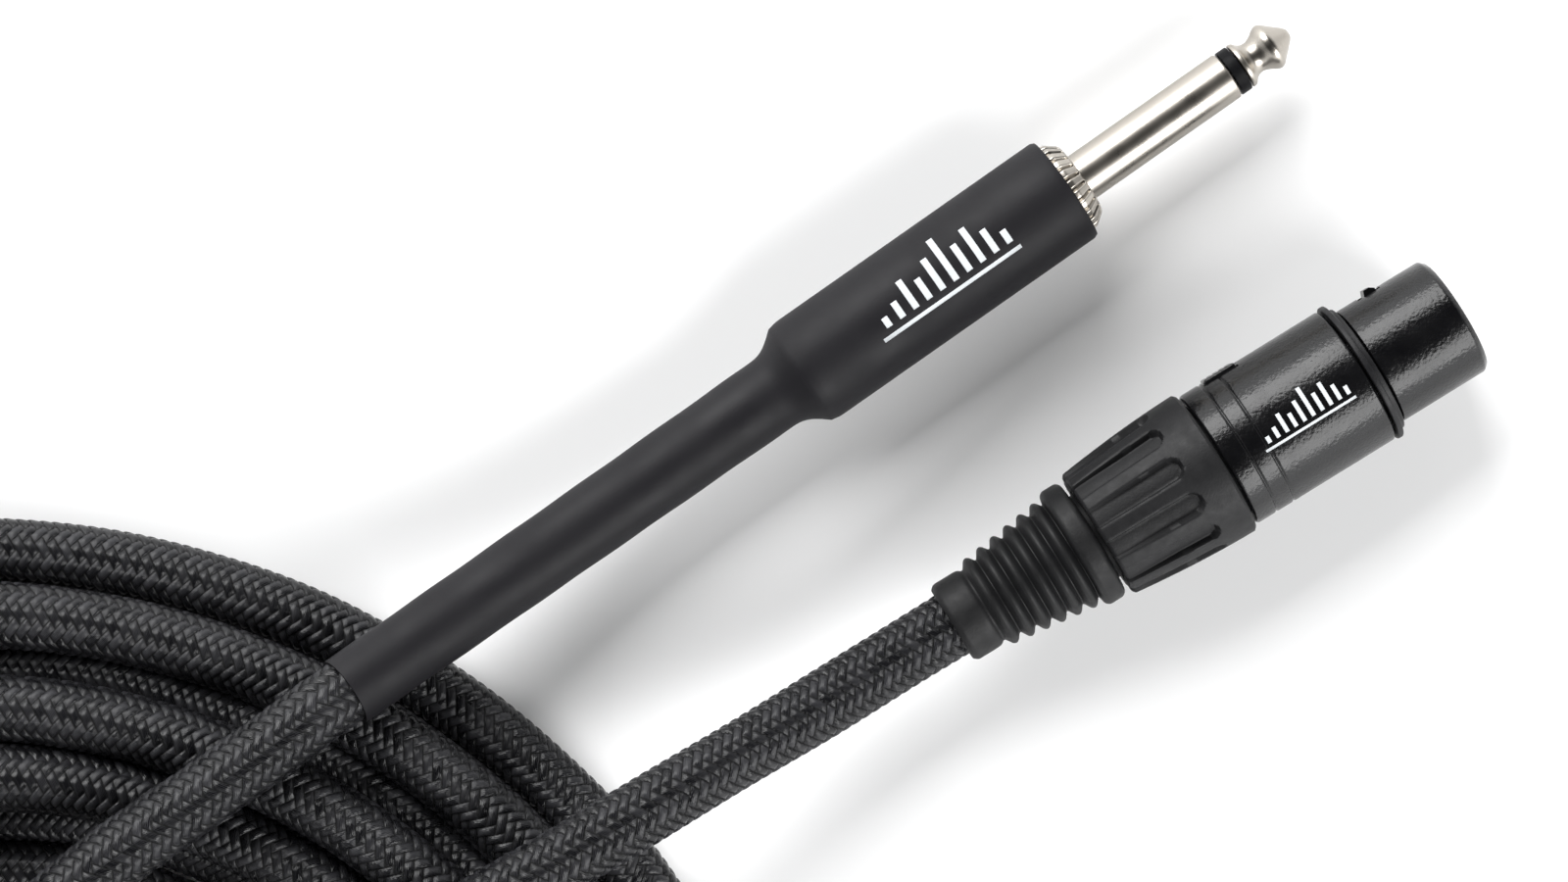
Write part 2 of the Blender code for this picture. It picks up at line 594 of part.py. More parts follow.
def cable_leads(textile):
    """The XLR lead starts inside the chuck, runs straight out of the boot and crosses the coil's turns."""
    forward = Vector((math.cos(XLR_HEADING), math.sin(XLR_HEADING), 0))
    inside = [XLR_NOSE + PLAN_SHIFT - forward * (s * MM) for s in (36, 50, 62)]
    route = inside + plan(XLR_LEAD)
    tube("cable_lead_xlr", None, textile, smooth_route(route, 6 * MM), CABLE_R, 2)
    line = shrink_line()
    onward = (line[-1] - line[-2]).normalized()
    start = [line[-1] + onward * GAP * 2, line[-1] + onward * 4 * MM]
    tube("cable_lead_jack", None, textile, smooth_route(start + plan(JACK_LEAD), 6 * MM), CABLE_R, 2)


def build():
    black_metal = material("black_metal", (0.012, 0.012, 0.013), 0.32)
    nickel = material("nickel", (0.78, 0.74, 0.68), 0.18, 1.0)
    spring_steel = material("spring_steel", (0.55, 0.56, 0.58), 0.3, 1.0)
    gold = material("gold_contact", (0.9, 0.68, 0.3), 0.25, 1.0)
    black_plastic = material("black_plastic", (0.02, 0.02, 0.022), 0.45)
    grey_plastic = material("grey_plastic", (0.045, 0.045, 0.048), 0.6)
    rubber = material("rubber", (0.035, 0.035, 0.038), 0.75)
    shrink = material("heat_shrink", (0.04, 0.038, 0.042), 0.55)
    liner = material("clear_liner", (0.7, 0.7, 0.66), 0.4)
    textile = material("textile_braid", (0.02, 0.02, 0.02), 0.6)
    jacket = material("inner_jacket", (0.03, 0.03, 0.03), 0.5)
    white = material("white_wire", (0.8, 0.8, 0.78), 0.5)
    copper = material("copper_shield", (0.72, 0.38, 0.22), 0.35, 1.0)
    red = material("red_wire", (0.55, 0.04, 0.03), 0.5)

    xlr = axis_empty("xlr_axis", XLR_NOSE, XLR_HEADING)
    xlr_shell(xlr, black_metal)
    xlr_ring(xlr, rubber)
    xlr_insert(xlr, black_plastic)
    xlr_contacts(xlr, gold)
    xlr_latch(xlr, spring_steel, black_metal)
    xlr_leaf_spring(xlr, spring_steel)
    xlr_chuck(xlr, grey_plastic)
    xlr_gland_nut(xlr, grey_plastic)
    xlr_boot(xlr, rubber)
    xlr_wires(xlr, jacket, {"xlr_wire_shield": copper, "xlr_wire_hot": white, "xlr_wire_jumper": red})

    jack = axis_empty("jack_axis", JACK_TIP, JACK_HEADING)
    jack_contacts(jack, nickel, black_plastic)
    jack_collar(jack, nickel)
    jack_barrel(jack, nickel, liner)
    jack_terminals(jack, spring_steel)
    jack_wires(jack, white, copper)
    jack_heat_shrink(shrink, jacket)

    cable_coil(textile)
    cable_leads(textile)


build()
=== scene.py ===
"""The looks of the coiled cable: a braided cord of its full length, two detailed connectors, light and camera.

Everything is in metres in the frame of the CAD model. The connectors' axes are read from the record."""

import math

import json

import bmesh
import bpy
import numpy as np
from mathutils import Matrix, Vector


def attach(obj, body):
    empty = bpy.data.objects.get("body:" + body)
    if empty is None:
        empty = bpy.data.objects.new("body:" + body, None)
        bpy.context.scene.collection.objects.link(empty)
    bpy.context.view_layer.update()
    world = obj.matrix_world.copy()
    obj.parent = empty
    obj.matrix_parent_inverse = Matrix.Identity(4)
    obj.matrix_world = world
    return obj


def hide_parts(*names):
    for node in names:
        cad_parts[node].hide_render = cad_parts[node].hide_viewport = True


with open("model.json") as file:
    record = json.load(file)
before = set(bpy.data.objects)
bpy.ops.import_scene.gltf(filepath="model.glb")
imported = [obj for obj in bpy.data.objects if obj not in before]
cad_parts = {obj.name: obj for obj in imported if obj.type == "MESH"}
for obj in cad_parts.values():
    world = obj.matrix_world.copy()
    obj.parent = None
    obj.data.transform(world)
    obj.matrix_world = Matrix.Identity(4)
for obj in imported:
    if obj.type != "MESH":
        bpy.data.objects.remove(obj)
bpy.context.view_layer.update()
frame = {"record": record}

MM = 0.001
ROOT = "cable_and_connectors"

# ---- places read from the record ---------------------------------------------------------------------------

record = frame["record"]
mounts = {m["name"]: m for m in record["mounts"]}
joints = {j["name"]: j for j in record["behaviour"]["joints"]}

XLR_NOSE = np.array(joints["nut_unscrew"]["pos_m"])
XLR_FORWARD = -np.array(joints["nut_unscrew"]["axis"])
JACK_FORWARD = np.array(mounts["jack_shoulder"]["axis"])
PLUG_LENGTH = 31.75 * MM
SHOULDER_OFFSET = 4.2 * MM
JACK_TIP = np.array(mounts["jack_shoulder"]["pos_m"]) - [0, 0, SHOULDER_OFFSET] + JACK_FORWARD * PLUG_LENGTH

# The plan's own zero, between the two plugs, where the camera hangs.
PLAN_ZERO = np.array([34.993, 44.184, 0]) * MM


# ---- camera ------------------------------------------------------------------------------------------------


def add_camera():
    """Straight above the middle of the picture, level with it, with its top towards +Y."""
    height, lens, sensor = 0.540, 97.9, 36.0
    data = bpy.data.cameras.new("camera")
    data.lens, data.sensor_width = lens, sensor
    data.clip_start, data.clip_end = 0.01, 20
    camera = bpy.data.objects.new("camera", data)
    bpy.context.scene.collection.objects.link(camera)
    camera.location = (PLAN_ZERO[0], PLAN_ZERO[1], height)
    bpy.context.scene.camera = camera


# ---- cord: its route ---------------------------------------------------------------------------------------

CABLE_D = 8.2 * MM
CABLE_R = CABLE_D / 2

OVAL_TOP = np.array([-51.7, -21.6, 0]) * MM
OVAL_TILT = math.radians(62.85)
FLAT_ARC_R = 109.8 * MM
END_ARC_R = 52.0 * MM
FLAT_HALF_ANGLE = math.radians(27.5)
FAN_MIDDLE = math.radians(65)

XLR_LEAD = [
    (20.9, -22.8, 9.9), (12.4, -28.0, 9.9), (5.0, -32.6, 10.5), (-1.5, -36.4, 12.4), (-8.1, -40.1, 15.0),
    (-15.0, -44.1, 17.7), (-23.0, -48.8, 19.7), (-31.3, -53.7, 20.0), (-41.0, -59.5, 20.0),
    (-51.0, -65.5, 20.2), (-60.0, -70.8, 19.5), (-69.0, -75.7, 15.8), (-78.0, -79.6, 10.2),
    (-87.0, -82.0, 6.2), (-95.0, -82.3, 4.5), (-102.0, -80.8, 4.2),
]
JACK_LEAD = [
    (-62.0, -36.8, 19.8), (-69.0, -41.9, 20.2), (-77.5, -47.7, 20.2),
    (-85.6, -53.6, 20.1), (-92.5, -59.6, 19.6), (-98.0, -67.0, 18.0), (-101.5, -75.0, 15.8),
    (-103.5, -84.0, 14.0),
]

# The eight strands in the order in which they are laid, as distances in from the outer edge, in mm: where the
# turns lie close, and where they fan out.
CLOSE = [29.1, 20.8, 12.5, 4.2, 8.3, 16.35, 24.5, 20.4]
FANNED = [43.9, 35.6, 27.3, 19.0, 4.1, 12.1, 23.4, 31.4]
STATIONS = 72
START_NORMAL = math.radians(200)
END_NORMAL = math.radians(255)


def eased(t):
    t = np.clip(t, 0, 1)
    return t * t * (3 - 2 * t)


def curve_radius(normal):
    off = (normal - OVAL_TILT + math.pi / 2) % math.pi - math.pi / 2
    blend = math.radians(6)
    return END_ARC_R + (FLAT_ARC_R - END_ARC_R) * (1 - eased((abs(off) - FLAT_HALF_ANGLE) / blend))


def oval_outline():
    """The coil's outer edge as points at STATIONS evenly turned normals, from the normal of zero up."""
    fine = 20
    step = 2 * math.pi / (STATIONS * fine)
    normals = OVAL_TILT + step * np.arange(STATIONS * fine + 1)
    middle = normals[:-1] + step / 2
    steps = np.stack([-np.sin(middle), np.cos(middle), 0 * middle], 1) * (curve_radius(middle) * step)[:, None]
    places = OVAL_TOP + np.concatenate([[[0, 0, 0]], np.cumsum(steps, 0)])
    return lambda normal: np.array([
        np.interp((normal - OVAL_TILT) % (2 * math.pi), normals - OVAL_TILT, places[:, k]) for k in range(3)
    ])


def slot_distance(table, order):
    """A strand's distance in from the outer edge, part of the way from one slot to the next."""
    return np.interp(order, range(len(table)), table)


def coil_turns():
    """The wound cable's centreline: each strand lies on the floor or on the strands laid before it."""
    outline = oval_outline()
    turn = 2 * math.pi / STATIONS
    travel = (START_NORMAL - (END_NORMAL - 2 * math.pi)) + 7 * 2 * math.pi
    count = int(round(travel / turn))
    normals = START_NORMAL - travel * np.arange(count + 1) / count
    # The step from one slot to the next is taken on the side of the coil away from the fan.
    turned = (math.radians(265) - 2 * math.pi - normals) / (2 * math.pi)
    whole = np.floor(turned)
    order = np.clip(whole + eased((turned - whole) / 0.2), 0, len(CLOSE) - 1)
    order = np.where(turned < 0, 0, order)
    off = np.abs((normals - FAN_MIDDLE + math.pi) % (2 * math.pi) - math.pi)
    fan = 1 - eased((off - math.radians(30)) / math.radians(34))
    close, wide = slot_distance(CLOSE, order), slot_distance(FANNED, order)
    across = (close + (wide - close) * fan) * MM
    wander = np.sin(normals * 1.37 + order * 0.7) * 0.25 + np.sin(normals * 2.9 + order * 0.9) * 0.15
    across = across + wander * MM * np.minimum(fan + 0.3, 1)
    height = np.full(count + 1, CABLE_R)
    for i in range(count + 1):
        for j in range(i - STATIONS, -1, -STATIONS):
            apart = abs(across[i] - across[j])
            if apart < CABLE_D:
                height[i] = max(height[i], height[j] + math.sqrt(CABLE_D**2 - apart**2))
    reach = 4
    kernel = np.hanning(2 * reach + 3)[1:-1]
    padded = np.pad(height, reach, mode="edge")
    height = np.convolve(padded, kernel / kernel.sum(), mode="valid")
    places = np.array([outline(a) for a in normals])
    outward = np.stack([np.cos(normals), np.sin(normals), 0 * normals], 1)
    places = places - outward * across[:, None]
    places[:, 2] = np.maximum(height, CABLE_R)
    return places + PLAN_ZERO


def smooth_line(points, spacing):
    """Evenly spaced points on a smooth curve through these."""
    p = np.asarray(points, float)
    ends = np.concatenate([[2 * p[0] - p[1]], p, [2 * p[-1] - p[-2]]])
    chord = np.sqrt(np.linalg.norm(np.diff(ends, axis=0), axis=1))
    knots = np.concatenate([[0], np.cumsum(chord)])
    found = []
    for i in range(1, len(ends) - 2):
        t0, t1, t2, t3 = knots[i - 1 : i + 3]
        p0, p1, p2, p3 = ends[i - 1 : i + 3]
        t = np.linspace(t1, t2, 16, endpoint=False)[:, None]
        a1 = ((t1 - t) * p0 + (t - t0) * p1) / (t1 - t0)
        a2 = ((t2 - t) * p1 + (t - t1) * p2) / (t2 - t1)
        a3 = ((t3 - t) * p2 + (t - t2) * p3) / (t3 - t2)
        b1 = ((t2 - t) * a1 + (t - t0) * a2) / (t2 - t0)
        b2 = ((t3 - t) * a2 + (t - t1) * a3) / (t3 - t1)
        found.append(((t2 - t) * b1 + (t - t1) * b2) / (t2 - t1))
    dense = np.concatenate(found + [p[-1:]])
    along = np.concatenate([[0], np.cumsum(np.linalg.norm(np.diff(dense, axis=0), axis=1))])
    count = max(2, int(round(along[-1] / spacing)))
    at = np.linspace(0, along[-1], count + 1)
    return np.stack([np.interp(at, along, dense[:, k]) for k in range(3)], 1)


def relaxed(line, rounds, fixed):
    """The line with its small kinks eased out, its first and last `fixed` points kept."""
    line = line.copy()
    for _ in range(rounds):
        middle = (line[:-2] + line[2:]) / 2
        line[fixed:-fixed] += 0.5 * (middle[fixed - 1 : 1 - fixed or None] - line[fixed:-fixed])
    return line


# Relaxing the hidden part of the coil. Lengths here are in mm. The camera's view ends at these two lines.
VIEW_LEFT, VIEW_NEAR = -67.4, -15.2
FADE = 14  # how far past the view a strand is wholly free
NEAR = 14  # strands closer than this are watched
SAME_STRAND = 30  # points nearer along the cord than this are never a pair
TOUCHING = 8.25
LOWEST, HIGHEST = 4.1, 29
OPEN_REACH, OPEN_SAG, OPEN_RATE = 4, 1.5, 0.35
EVEN_RATE, SINK = 0.08, 0.01


def close_pairs(line, along, free):
    """Pairs of points on different strands that are near each other, at least one of them free."""
    a, b = np.array([], int), np.array([], int)
    for i in range(len(line)):
        near = i + 1 + np.flatnonzero(np.linalg.norm(line[i + 1 :] - line[i], axis=1) < NEAR)
        near = near[along[near] - along[i] > SAME_STRAND]
        a, b = np.append(a, np.full(len(near), i)), np.append(b, near)
    either = (free[a] + free[b])[:, 0] > 0
    return a[either], b[either]


def moved_off(line, a, b, free):
    """How each point moves so that the pairs no longer sink into each other."""
    gap = line[a] - line[b]
    apart = np.maximum(np.linalg.norm(gap, axis=1), 0.01)[:, None]
    push = gap / apart * np.maximum(TOUCHING - apart, 0)
    share = free[a] / np.maximum(free[a] + free[b], 0.01)
    shift, count = np.zeros_like(line), np.full((len(line), 1), 1e-9)
    np.add.at(shift, a, push * share)
    np.add.at(shift, b, -push * (1 - share))
    hit = (apart < TOUCHING) * 1.0
    np.add.at(count, a, hit)
    np.add.at(count, b, hit)
    return free * shift / np.maximum(count, 1)


def settled(line, rounds):
    """The part of the coil past the view, with tight bends opened out and strands moved off each other."""
    line = line / MM
    low, high = line.min(0), line.max(0)
    past = np.maximum(VIEW_LEFT - line[:, 0], VIEW_NEAR - line[:, 1])
    free = eased((past - 1) / FADE)[:, None]
    along = np.concatenate([[0], np.cumsum(np.linalg.norm(np.diff(line, axis=0), axis=1))])
    inner = slice(OPEN_REACH, -OPEN_REACH)
    for k in range(rounds):
        if k % 10 == 0:
            a, b = close_pairs(line, along, free)
        chord = (line[: -2 * OPEN_REACH] + line[2 * OPEN_REACH :]) / 2 - line[inner]
        sag = np.linalg.norm(chord, axis=1)[:, None]
        line[inner] += free[inner] * chord * OPEN_RATE * np.clip(1 - OPEN_SAG / np.maximum(sag, 0.01), 0, 1)
        line[1:-1] += free[1:-1] * EVEN_RATE * ((line[:-2] + line[2:]) / 2 - line[1:-1])
        line[:, 2] -= SINK * free[:, 0]
        for _ in range(3):
            line += moved_off(line, a, b, free)
            kept_in = np.clip(line, [low[0], low[1], LOWEST], [high[0], high[1], HIGHEST])
            line = np.where(free > 0, kept_in, line)
    return line * MM


SHRINK_END = 142.6 * MM
COLLAR_END = 34.0 * MM


def shrink_line():
    """The middle of the heat shrink: straight over the barrel, then up onto the coil."""
    heights = [(COLLAR_END / MM, 7.15), (50, 7.15), (66, 7.15), (73.6, 7.15), (80, 7.15), (90, 7.2), (100, 7.7),
               (110, 8.8), (120, 10.7), (130, 13.3), (137, 15.5), (SHRINK_END / MM, 17.5)]
    flat = np.array([JACK_TIP[0], JACK_TIP[1], 0])
    return np.array([flat - JACK_FORWARD * u * MM + [0, 0, z * MM] for u, z in heights])


BOOT_END = 73.5 * MM
CORD_START = 66.0 * MM


def cord_line(spacing):
    inside = [XLR_NOSE - XLR_FORWARD * s for s in (CORD_START, BOOT_END - 3 * MM)]
    lead = [np.array(p) * MM + PLAN_ZERO for p in XLR_LEAD[1:]]
    turns = coil_turns()[::3]
    back = [np.array(p) * MM + PLAN_ZERO for p in JACK_LEAD[::-1]]
    shrink = shrink_line()
    onward = (shrink[-1] - shrink[-2]) / np.linalg.norm(shrink[-1] - shrink[-2])
    finish = [shrink[-1] + onward * 4 * MM, shrink[-1] - onward * 2 * MM]
    points = inside + lead + list(turns) + back + finish
    line = smooth_line(points, 2 * MM)
    line = relaxed(line, 12, 8)
    return smooth_line(settled(line, 150), spacing)


# ---- mesh helpers ------------------------------------------------------------------------------------------


def mesh_object(name, points, faces, material, smooth=True):
    mesh = bpy.data.meshes.new(name)
    mesh.from_pydata([tuple(p) for p in points], [], faces)
    mesh.validate()
    if smooth:
        mesh.shade_smooth()
    thing = bpy.data.objects.new(name, mesh)
    bpy.context.scene.collection.objects.link(thing)
    if material:
        mesh.materials.append(material)
    return thing


def grid_mesh(name, rows, material, around=True, ring=False, uv=None):
    """A smooth surface through rows of points: round and round, and closed end to end if it's a ring."""
    count, sides = rows.shape[:2]
    n_rows = count if ring else count - 1
    n_cols = sides if around else sides - 1
    i = np.arange(n_rows)[:, None]
    j = np.arange(n_cols)[None, :]
    down, right = (i + 1) % count, (j + 1) % sides
    quads = np.stack([i * sides + j + 0 * i, i * sides + right, down * sides + right, down * sides + j + 0 * i], -1)
    quads = quads.reshape(-1, 4)
    mesh = bpy.data.meshes.new(name)
    mesh.vertices.add(count * sides)
    mesh.vertices.foreach_set("co", rows.reshape(-1).astype(np.float32))
    mesh.loops.add(len(quads) * 4)
    mesh.loops.foreach_set("vertex_index", quads.reshape(-1).astype(np.int32))
    mesh.polygons.add(len(quads))
    mesh.polygons.foreach_set("loop_start", np.arange(len(quads), dtype=np.int32) * 4)
    mesh.update(calc_edges=True)
    if uv:
        across, along = uv
        layer = mesh.uv_layers.new(name="weave")
        u = np.stack([j + 0 * i, j + 1 + 0 * i, j + 1 + 0 * i, j + 0 * i], -1).reshape(-1) * across / sides
        v = np.stack([along[i] + 0 * j, along[i] + 0 * j, along[i + 1] + 0 * j, along[i + 1] + 0 * j], -1).reshape(-1)
        layer.data.foreach_set("uv", np.stack([u, v], 1).reshape(-1).astype(np.float32))
    mesh.shade_smooth()
    thing = bpy.data.objects.new(name, mesh)
    bpy.context.scene.collection.objects.link(thing)
    if material:
        mesh.materials.append(material)
    return thing


def line_frames(line):
    """A direction and two sideways vectors at each point of a line, carried along without twist."""
    ahead = np.gradient(line, axis=0)
    ahead /= np.linalg.norm(ahead, axis=1)[:, None]
    side = np.cross(ahead[0], [0, 0, 1])
    side /= np.linalg.norm(side)
    sides = [side]
    for d in ahead[1:]:
        side = side - d * side.dot(d)
        side = side / np.linalg.norm(side)
        sides.append(side)
    sides = np.array(sides)
    return ahead, sides, np.cross(ahead, sides)


def sweep_rows(line, radii, sides):
    """Rings round a line. radii is one for each ring, or one for each ring and side."""
    _, a, b = line_frames(line)
    angle = np.arange(sides) * 2 * math.pi / sides
    radii = np.broadcast_to(np.asarray(radii).reshape(len(line), -1), (len(line), sides))
    spoke = a[:, None, :] * np.cos(angle)[None, :, None] + b[:, None, :] * np.sin(angle)[None, :, None]
    return line[:, None, :] + spoke * radii[:, :, None]


# ---- the braid ---------------------------------------------------------------------------------------------

COLUMNS = 12
PICK = 1.47 * MM
SIDES = 60
RINGS_A_PICK = 5
SHIFT = 400  # a whole number of weave repeats, to keep remainders above zero


def braid_height(u, v):
    """The relief of a two-over, two-under braid, 0 to 1. u counts columns round the cable, v picks along it.
    One family of yarns runs along v + u = constant, the other along v - u = constant."""
    p, q = v + u, v - u
    i, j = np.floor(p), np.floor(q)
    first = (i - j + SHIFT) % 4 < 2
    across = np.where(first, p - i, q - j)
    along = np.where(first, (q - i + 1 + SHIFT) % 4, (p - j - 2 + SHIFT) % 4) / 2
    return (1 - 0.9 * np.abs(2 * across - 1) ** 5) * (1 - 0.9 * np.abs(2 * along - 1) ** 5)


def braided_cord(material):
    spacing = PICK / RINGS_A_PICK
    line = cord_line(spacing)
    along = np.concatenate([[0], np.cumsum(np.linalg.norm(np.diff(line, axis=0), axis=1))])
    v = along / PICK
    u = (np.arange(SIDES) + 0.0) * COLUMNS / SIDES
    height = braid_height(u[None, :], v[:, None])
    low, high = 3.78 * MM, 4.18 * MM
    slow = 0.05 * MM * np.sin(along / (9.3 * MM)) + 0.04 * MM * np.sin(along / (3.9 * MM) + 1)
    radii = low + (high - low) * height + slow[:, None]
    rows = sweep_rows(line, radii, SIDES)
    cord = grid_mesh("braided_cable", rows, material, uv=(COLUMNS, v))
    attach(cord, ROOT)
    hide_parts("cable_coil", "cable_lead_xlr", "cable_lead_jack")
    return cord, line


# ---- materials ---------------------------------------------------------------------------------------------


class Shader:
    """A Principled material and short ways to add nodes to it."""

    def __init__(self, name, colour, roughness, metallic=0.0, **values):
        self.material = bpy.data.materials.new(name)
        self.material.use_nodes = True
        self.tree = self.material.node_tree
        self.base = self.tree.nodes["Principled BSDF"]
        self.set("Base Color", (*colour, 1))
        self.set("Roughness", roughness)
        self.set("Metallic", metallic)
        for key, value in values.items():
            self.set(key.replace("_", " "), value)

    def set(self, socket, value):
        self.base.inputs[socket].default_value = value

    def node(self, kind, inputs=(), **settings):
        made = self.tree.nodes.new(kind)
        for key, value in settings.items():
            setattr(made, key, value)
        for key, value in dict(inputs).items():
            self.plug(made.inputs[key], value)
        return made

    def plug(self, socket, value):
        if isinstance(value, bpy.types.NodeSocket):
            self.tree.links.new(value, socket)
        else:
            socket.default_value = value

    def math(self, operation, *values):
        made = self.tree.nodes.new("ShaderNodeMath")
        made.operation = operation
        for socket, value in zip(made.inputs, values):
            self.plug(socket, value)
        return made.outputs[0]

    def pick(self, first, a, b):
        """a where first is 1, b where it's 0."""
        return self.math("ADD", self.math("MULTIPLY", first, self.math("SUBTRACT", a, b)), b)

    def range(self, value, low, high, to_low, to_high):
        made = self.node("ShaderNodeMapRange", {0: value, 1: low, 2: high, 3: to_low, 4: to_high})
        return made.outputs[0]

    def noise(self, scale, detail=2.0, roughness=0.5, vector=None, squeeze=None):
        if vector is None:
            vector = self.node("ShaderNodeTexCoord").outputs["Object"]
        if squeeze:
            vector = self.node("ShaderNodeMapping", {"Vector": vector, "Scale": squeeze}).outputs[0]
        made = self.node("ShaderNodeTexNoise", {"Vector": vector, "Scale": scale, "Detail": detail,
                                                "Roughness": roughness})
        return made.outputs["Fac"]

    def mix(self, factor, a, b):
        made = self.node("ShaderNodeMix", data_type="RGBA")
        self.plug(made.inputs[0], factor)
        self.plug(made.inputs[6], a if isinstance(a, bpy.types.NodeSocket) else (*a, 1))
        self.plug(made.inputs[7], b if isinstance(b, bpy.types.NodeSocket) else (*b, 1))
        return made.outputs[2]

    def bump(self, height, distance, strength=1.0, normal=None):
        made = self.node("ShaderNodeBump", {"Height": height, "Distance": distance, "Strength": strength})
        if normal:
            self.plug(made.inputs["Normal"], normal)
        return made.outputs[0]

    def finish(self, colour=None, roughness=None, normal=None):
        for socket, value in (("Base Color", colour), ("Roughness", roughness), ("Normal", normal)):
            if value is not None:
                self.tree.links.new(value, self.base.inputs[socket])
        return self.material


def braid_material():
    """Yarn floats as fine parallel filaments, with painted shade in the gaps where a float dives under its neighbour,
    and one yarn family painted lighter as a painted sheen.
    """
    s = Shader("textile_braid", (0.012, 0.012, 0.013), 0.38)
    s.set("Specular IOR Level", 0.3)
    uv = s.node("ShaderNodeUVMap", uv_map="weave").outputs[0]
    parts = s.node("ShaderNodeSeparateXYZ", {0: uv})
    u, v = parts.outputs[0], parts.outputs[1]
    p, q = s.math("ADD", v, u), s.math("SUBTRACT", v, u)
    i, j = s.math("FLOOR", p), s.math("FLOOR", q)
    first = s.math("LESS_THAN", s.math("MODULO", s.math("SUBTRACT", i, j), 4.0), 2.0)
    across = s.pick(first, s.math("SUBTRACT", p, i), s.math("SUBTRACT", q, j))
    along_first = s.math("MODULO", s.math("ADD", s.math("SUBTRACT", q, i), 1.0 + SHIFT), 4.0)
    along_second = s.math("MODULO", s.math("ADD", s.math("SUBTRACT", p, j), SHIFT - 2.0), 4.0)
    along = s.math("MULTIPLY", s.pick(first, along_first, along_second), 0.5)
    edge = s.math("ABSOLUTE", s.math("SUBTRACT", s.math("MULTIPLY", across, 2.0), 1.0))
    end = s.math("ABSOLUTE", s.math("SUBTRACT", s.math("MULTIPLY", along, 2.0), 1.0))
    wobble = s.math("MULTIPLY", s.math("SUBTRACT", s.noise(1100.0), 0.5), 0.3)
    filaments = s.math("SINE", s.math("MULTIPLY", s.math("ADD", across, wobble), 2 * math.pi * 7))
    seed = s.node("ShaderNodeCombineXYZ", {0: s.pick(first, i, j), 1: first, 2: s.math("FLOOR", u)}).outputs[0]
    chance = s.node("ShaderNodeTexWhiteNoise", {"Vector": seed}).outputs["Value"]
    # Painted shade: this mask marks the gaps between floats and the ends where they dive under, and the colour goes to
    # black there in place of the crevices' shade. These gaps are also made rougher.
    gap = s.math("MAXIMUM", s.range(edge, 0.8, 1.0, 0.0, 0.95), s.range(end, 0.84, 1.0, 0.0, 1.0))
    light = s.math("ADD", s.math("MULTIPLY", chance, 0.45), s.math("MULTIPLY", filaments, 0.35))
    # Painted sheen: the floats of one yarn family are painted lighter than those of the other, in place of their
    # different sheen under the lights. The rest of this value is random tone and the filament lines.
    light = s.math("ADD", light, s.math("MULTIPLY", first, 0.25))
    colour = s.mix(s.range(light, 0.0, 0.95, 0.0, 1.0), (0.0005, 0.0005, 0.001), (0.04, 0.04, 0.044))
    # Painted shade: the colour is darkened to black in the gaps between the floats.
    colour = s.mix(gap, colour, (0.0, 0.0, 0.0))
    rough = s.math("ADD", s.range(chance, 0.0, 1.0, 0.2, 0.36), s.math("MULTIPLY", gap, 0.5))
    crown = s.math("MULTIPLY", s.math("SUBTRACT", 1.0, s.math("POWER", edge, 4.0)),
                   s.math("SUBTRACT", 1.0, s.math("POWER", end, 4.0)))
    normal = s.bump(filaments, 0.000012, 0.6, s.bump(crown, 0.00016, 1.0))
    return s.finish(colour, rough, normal)


def shrink_material():
    s = Shader("heat_shrink", (0.008, 0.0075, 0.009), 0.5, Specular_IOR_Level=0.22)
    patches = s.noise(60.0, 3.0)
    colour = s.mix(patches, (0.0055, 0.005, 0.0065), (0.0095, 0.009, 0.011))
    rough = s.range(s.noise(140.0, 3.0), 0.3, 0.7, 0.5, 0.62)
    fine = s.bump(s.noise(2600.0, 2.0), 0.00003, 0.5)
    normal = s.bump(s.noise(170.0, 2.0), 0.00025, 0.5, fine)
    return s.finish(colour, rough, normal)


def lacquer_material():
    """Black lacquer with an orange-peel skin."""
    s = Shader("black_metal", (0.003, 0.003, 0.0035), 0.3, Specular_IOR_Level=0.4)
    peel = s.noise(2300.0, 2.0, 0.45)
    rough = s.range(s.noise(420.0, 3.0), 0.3, 0.7, 0.18, 0.28)
    colour = s.mix(s.noise(300.0), (0.002, 0.002, 0.0025), (0.005, 0.005, 0.0055))
    return s.finish(colour, rough, s.bump(peel, 0.00006, 0.8))


def moulded_material(name, dark, light, rough_low, rough_high, grain=0.00004, shine=0.25):
    s = Shader(name, dark, rough_high, Specular_IOR_Level=shine)
    colour = s.mix(s.noise(260.0, 4.0), dark, light)
    rough = s.range(s.noise(700.0, 3.0), 0.3, 0.7, rough_low, rough_high)
    return s.finish(colour, rough, s.bump(s.noise(3600.0, 2.0), grain, 0.7))


def nickel_material():
    s = Shader("nickel", (0.43, 0.4, 0.36), 0.3, 1.0)
    rough = s.range(s.noise(260.0, 4.0), 0.3, 0.7, 0.25, 0.34)
    colour = s.mix(s.noise(90.0, 3.0), (0.47, 0.44, 0.395), (0.39, 0.36, 0.32))
    return s.finish(colour, rough, s.bump(s.noise(2200.0, 2.0), 0.00001, 0.35))


def metal_material(name, low, high, roughness):
    s = Shader(name, low, roughness, 1.0)
    rough = s.range(s.noise(400.0, 3.0), 0.3, 0.7, roughness - 0.06, roughness + 0.08)
    return s.finish(s.mix(s.noise(200.0, 3.0), low, high), rough, s.bump(s.noise(2400.0), 0.00002, 0.4))


def print_material():
    s = Shader("white_print", (0.8, 0.82, 0.84), 0.5)
    return s.finish(s.mix(s.noise(900.0, 3.0), (0.55, 0.58, 0.6), (0.7, 0.73, 0.75)),
                    s.range(s.noise(500.0), 0.3, 0.7, 0.42, 0.58))


# ---- turned pieces -----------------------------------------------------------------------------------------


